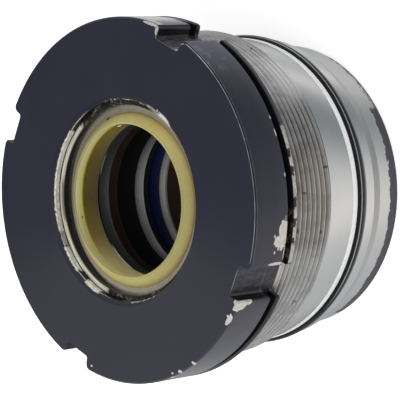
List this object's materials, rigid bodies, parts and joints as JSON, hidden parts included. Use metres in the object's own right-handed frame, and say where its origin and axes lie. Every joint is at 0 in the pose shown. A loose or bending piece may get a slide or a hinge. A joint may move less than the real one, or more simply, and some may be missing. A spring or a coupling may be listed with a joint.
{
  "type": "hydraulic cylinder gland",
  "caption": "Threaded hydraulic cylinder head with a slotted painted flange, outside O-ring and the rod's wiper, seals and guide ring.",
  "frame": {"origin": "centre of the nose's end face, which the part stands on", "axes": "+Z along the rod axis from the nose to the flange, +X through the middle of a spanner slot"},
  "size_m": [0.1028, 0.1028, 0.071],
  "materials": {
    "body": "satin",
    "spring_steel": "satin",
    "wiper_case": "matte",
    "wiper_lip": "satin",
    "brown_nylon": "matte",
    "black_rubber": "matte",
    "black_nylon": "matte",
    "blue_urethane": "gloss",
    "white_ptfe": "matte"
  },
  "bodies": {
    "root": {"gland_body": "body", "snap_ring": "spring_steel", "wiper_case": "wiper_case", "wiper_lip": "wiper_lip", "rod_seal_backup": "brown_nylon", "rod_seal": "black_rubber", "buffer_backup": "black_nylon", "buffer_ring": "blue_urethane", "wear_ring": "brown_nylon", "outer_backup_ring": "white_ptfe", "outer_o_ring": "black_rubber"}
  },
  "joints": []
}
